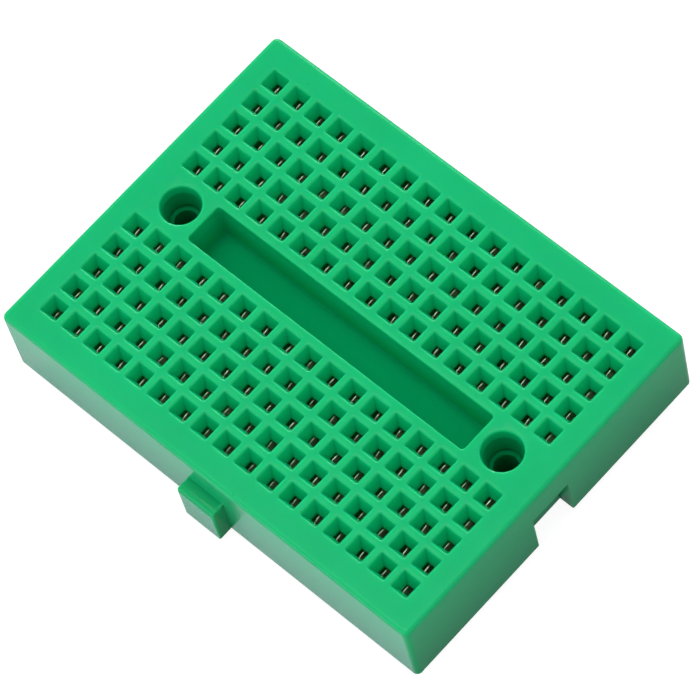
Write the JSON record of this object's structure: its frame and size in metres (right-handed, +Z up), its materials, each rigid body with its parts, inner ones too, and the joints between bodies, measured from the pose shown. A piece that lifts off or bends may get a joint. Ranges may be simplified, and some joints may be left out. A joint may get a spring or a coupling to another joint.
{
  "type": "solderless breadboard",
  "caption": "Small self-adhesive solderless breadboard: a plastic block of square tie points over spring contact clips, with a centre trough, screw holes and interlocking edges.",
  "frame": {"origin": "middle of the board's outline in plan, on the underside of the release liner that it rests on", "axes": "+X along the long side, towards the short side with the notch; +Y across the board, from the long side with the tab; +Z up through the top face"},
  "size_m": [0.0484, 0.0364, 0.0096],
  "materials": {
    "housing_plastic": "satin",
    "clip_metal": "polished",
    "foam": "matte",
    "liner_paper": "satin"
  },
  "bodies": {
    "housing": {"housing": "housing_plastic"},
    "foam_pad": {"adhesive_foam_pad": "foam"},
    "liner": {"release_liner": "liner_paper"},
    "clip_ae_01": {"contact_clip_ae_01": "clip_metal"},
    "clip_ae_02": {"contact_clip_ae_02": "clip_metal"},
    "clip_ae_03": {"contact_clip_ae_03": "clip_metal"},
    "clip_ae_04": {"contact_clip_ae_04": "clip_metal"},
    "clip_ae_05": {"contact_clip_ae_05": "clip_metal"},
    "clip_ae_06": {"contact_clip_ae_06": "clip_metal"},
    "clip_ae_07": {"contact_clip_ae_07": "clip_metal"},
    "clip_ae_08": {"contact_clip_ae_08": "clip_metal"},
    "clip_ae_09": {"contact_clip_ae_09": "clip_metal"},
    "clip_ae_10": {"contact_clip_ae_10": "clip_metal"},
    "clip_ae_11": {"contact_clip_ae_11": "clip_metal"},
    "clip_ae_12": {"contact_clip_ae_12": "clip_metal"},
    "clip_ae_13": {"contact_clip_ae_13": "clip_metal"},
    "clip_ae_14": {"contact_clip_ae_14": "clip_metal"},
    "clip_ae_15": {"contact_clip_ae_15": "clip_metal"},
    "clip_ae_16": {"contact_clip_ae_16": "clip_metal"},
    "clip_ae_17": {"contact_clip_ae_17": "clip_metal"},
    "clip_fj_01": {"contact_clip_fj_01": "clip_metal"},
    "clip_fj_02": {"contact_clip_fj_02": "clip_metal"},
    "clip_fj_03": {"contact_clip_fj_03": "clip_metal"},
    "clip_fj_04": {"contact_clip_fj_04": "clip_metal"},
    "clip_fj_05": {"contact_clip_fj_05": "clip_metal"},
    "clip_fj_06": {"contact_clip_fj_06": "clip_metal"},
    "clip_fj_07": {"contact_clip_fj_07": "clip_metal"},
    "clip_fj_08": {"contact_clip_fj_08": "clip_metal"},
    "clip_fj_09": {"contact_clip_fj_09": "clip_metal"},
    "clip_fj_10": {"contact_clip_fj_10": "clip_metal"},
    "clip_fj_11": {"contact_clip_fj_11": "clip_metal"},
    "clip_fj_12": {"contact_clip_fj_12": "clip_metal"},
    "clip_fj_13": {"contact_clip_fj_13": "clip_metal"},
    "clip_fj_14": {"contact_clip_fj_14": "clip_metal"},
    "clip_fj_15": {"contact_clip_fj_15": "clip_metal"},
    "clip_fj_16": {"contact_clip_fj_16": "clip_metal"},
    "clip_fj_17": {"contact_clip_fj_17": "clip_metal"}
  },
  "joints": [
    {"name": "foam_peel", "type": "slide", "parent": "housing", "child": "foam_pad", "axis": [0, 0, -1], "range_m": [0, 0.024]},
    {"name": "liner_peel", "type": "slide", "parent": "foam_pad", "child": "liner", "axis": [0, 0, -1], "range_m": [0, 0.012]},
    {"name": "clip_ae_01_slide", "type": "slide", "parent": "housing", "child": "clip_ae_01", "axis": [0, 0, -1], "range_m": [0, 0.014]},
    {"name": "clip_ae_02_slide", "type": "slide", "parent": "housing", "child": "clip_ae_02", "axis": [0, 0, -1], "range_m": [0, 0.014]},
    {"name": "clip_ae_03_slide", "type": "slide", "parent": "housing", "child": "clip_ae_03", "axis": [0, 0, -1], "range_m": [0, 0.014]},
    {"name": "clip_ae_04_slide", "type": "slide", "parent": "housing", "child": "clip_ae_04", "axis": [0, 0, -1], "range_m": [0, 0.014]},
    {"name": "clip_ae_05_slide", "type": "slide", "parent": "housing", "child": "clip_ae_05", "axis": [0, 0, -1], "range_m": [0, 0.014]},
    {"name": "clip_ae_06_slide", "type": "slide", "parent": "housing", "child": "clip_ae_06", "axis": [0, 0, -1], "range_m": [0, 0.014]},
    {"name": "clip_ae_07_slide", "type": "slide", "parent": "housing", "child": "clip_ae_07", "axis": [0, 0, -1], "range_m": [0, 0.014]},
    {"name": "clip_ae_08_slide", "type": "slide", "parent": "housing", "child": "clip_ae_08", "axis": [0, 0, -1], "range_m": [0, 0.014]},
    {"name": "clip_ae_09_slide", "type": "slide", "parent": "housing", "child": "clip_ae_09", "axis": [0, 0, -1], "range_m": [0, 0.014]},
    {"name": "clip_ae_10_slide", "type": "slide", "parent": "housing", "child": "clip_ae_10", "axis": [0, 0, -1], "range_m": [0, 0.014]},
    {"name": "clip_ae_11_slide", "type": "slide", "parent": "housing", "child": "clip_ae_11", "axis": [0, 0, -1], "range_m": [0, 0.014]},
    {"name": "clip_ae_12_slide", "type": "slide", "parent": "housing", "child": "clip_ae_12", "axis": [0, 0, -1], "range_m": [0, 0.014]},
    {"name": "clip_ae_13_slide", "type": "slide", "parent": "housing", "child": "clip_ae_13", "axis": [0, 0, -1], "range_m": [0, 0.014]},
    {"name": "clip_ae_14_slide", "type": "slide", "parent": "housing", "child": "clip_ae_14", "axis": [0, 0, -1], "range_m": [0, 0.014]},
    {"name": "clip_ae_15_slide", "type": "slide", "parent": "housing", "child": "clip_ae_15", "axis": [0, 0, -1], "range_m": [0, 0.014]},
    {"name": "clip_ae_16_slide", "type": "slide", "parent": "housing", "child": "clip_ae_16", "axis": [0, 0, -1], "range_m": [0, 0.014]},
    {"name": "clip_ae_17_slide", "type": "slide", "parent": "housing", "child": "clip_ae_17", "axis": [0, 0, -1], "range_m": [0, 0.014]},
    {"name": "clip_fj_01_slide", "type": "slide", "parent": "housing", "child": "clip_fj_01", "axis": [0, 0, -1], "range_m": [0, 0.014]},
    {"name": "clip_fj_02_slide", "type": "slide", "parent": "housing", "child": "clip_fj_02", "axis": [0, 0, -1], "range_m": [0, 0.014]},
    {"name": "clip_fj_03_slide", "type": "slide", "parent": "housing", "child": "clip_fj_03", "axis": [0, 0, -1], "range_m": [0, 0.014]},
    {"name": "clip_fj_04_slide", "type": "slide", "parent": "housing", "child": "clip_fj_04", "axis": [0, 0, -1], "range_m": [0, 0.014]},
    {"name": "clip_fj_05_slide", "type": "slide", "parent": "housing", "child": "clip_fj_05", "axis": [0, 0, -1], "range_m": [0, 0.014]},
    {"name": "clip_fj_06_slide", "type": "slide", "parent": "housing", "child": "clip_fj_06", "axis": [0, 0, -1], "range_m": [0, 0.014]},
    {"name": "clip_fj_07_slide", "type": "slide", "parent": "housing", "child": "clip_fj_07", "axis": [0, 0, -1], "range_m": [0, 0.014]},
    {"name": "clip_fj_08_slide", "type": "slide", "parent": "housing", "child": "clip_fj_08", "axis": [0, 0, -1], "range_m": [0, 0.014]},
    {"name": "clip_fj_09_slide", "type": "slide", "parent": "housing", "child": "clip_fj_09", "axis": [0, 0, -1], "range_m": [0, 0.014]},
    {"name": "clip_fj_10_slide", "type": "slide", "parent": "housing", "child": "clip_fj_10", "axis": [0, 0, -1], "range_m": [0, 0.014]},
    {"name": "clip_fj_11_slide", "type": "slide", "parent": "housing", "child": "clip_fj_11", "axis": [0, 0, -1], "range_m": [0, 0.014]},
    {"name": "clip_fj_12_slide", "type": "slide", "parent": "housing", "child": "clip_fj_12", "axis": [0, 0, -1], "range_m": [0, 0.014]},
    {"name": "clip_fj_13_slide", "type": "slide", "parent": "housing", "child": "clip_fj_13", "axis": [0, 0, -1], "range_m": [0, 0.014]},
    {"name": "clip_fj_14_slide", "type": "slide", "parent": "housing", "child": "clip_fj_14", "axis": [0, 0, -1], "range_m": [0, 0.014]},
    {"name": "clip_fj_15_slide", "type": "slide", "parent": "housing", "child": "clip_fj_15", "axis": [0, 0, -1], "range_m": [0, 0.014]},
    {"name": "clip_fj_16_slide", "type": "slide", "parent": "housing", "child": "clip_fj_16", "axis": [0, 0, -1], "range_m": [0, 0.014]},
    {"name": "clip_fj_17_slide", "type": "slide", "parent": "housing", "child": "clip_fj_17", "axis": [0, 0, -1], "range_m": [0, 0.014]}
  ],
  "couplings": [
    {"joint": "clip_ae_01_slide", "follows": "foam_peel", "ratio": 0.5},
    {"joint": "clip_ae_02_slide", "follows": "foam_peel", "ratio": 0.5},
    {"joint": "clip_ae_03_slide", "follows": "foam_peel", "ratio": 0.5},
    {"joint": "clip_ae_04_slide", "follows": "foam_peel", "ratio": 0.5},
    {"joint": "clip_ae_05_slide", "follows": "foam_peel", "ratio": 0.5},
    {"joint": "clip_ae_06_slide", "follows": "foam_peel", "ratio": 0.5},
    {"joint": "clip_ae_07_slide", "follows": "foam_peel", "ratio": 0.5},
    {"joint": "clip_ae_08_slide", "follows": "foam_peel", "ratio": 0.5},
    {"joint": "clip_ae_09_slide", "follows": "foam_peel", "ratio": 0.5},
    {"joint": "clip_ae_10_slide", "follows": "foam_peel", "ratio": 0.5},
    {"joint": "clip_ae_11_slide", "follows": "foam_peel", "ratio": 0.5},
    {"joint": "clip_ae_12_slide", "follows": "foam_peel", "ratio": 0.5},
    {"joint": "clip_ae_13_slide", "follows": "foam_peel", "ratio": 0.5},
    {"joint": "clip_ae_14_slide", "follows": "foam_peel", "ratio": 0.5},
    {"joint": "clip_ae_15_slide", "follows": "foam_peel", "ratio": 0.5},
    {"joint": "clip_ae_16_slide", "follows": "foam_peel", "ratio": 0.5},
    {"joint": "clip_ae_17_slide", "follows": "foam_peel", "ratio": 0.5},
    {"joint": "clip_fj_01_slide", "follows": "foam_peel", "ratio": 0.5},
    {"joint": "clip_fj_02_slide", "follows": "foam_peel", "ratio": 0.5},
    {"joint": "clip_fj_03_slide", "follows": "foam_peel", "ratio": 0.5},
    {"joint": "clip_fj_04_slide", "follows": "foam_peel", "ratio": 0.5},
    {"joint": "clip_fj_05_slide", "follows": "foam_peel", "ratio": 0.5},
    {"joint": "clip_fj_06_slide", "follows": "foam_peel", "ratio": 0.5},
    {"joint": "clip_fj_07_slide", "follows": "foam_peel", "ratio": 0.5},
    {"joint": "clip_fj_08_slide", "follows": "foam_peel", "ratio": 0.5},
    {"joint": "clip_fj_09_slide", "follows": "foam_peel", "ratio": 0.5},
    {"joint": "clip_fj_10_slide", "follows": "foam_peel", "ratio": 0.5},
    {"joint": "clip_fj_11_slide", "follows": "foam_peel", "ratio": 0.5},
    {"joint": "clip_fj_12_slide", "follows": "foam_peel", "ratio": 0.5},
    {"joint": "clip_fj_13_slide", "follows": "foam_peel", "ratio": 0.5},
    {"joint": "clip_fj_14_slide", "follows": "foam_peel", "ratio": 0.5},
    {"joint": "clip_fj_15_slide", "follows": "foam_peel", "ratio": 0.5},
    {"joint": "clip_fj_16_slide", "follows": "foam_peel", "ratio": 0.5},
    {"joint": "clip_fj_17_slide", "follows": "foam_peel", "ratio": 0.5}
  ]
}
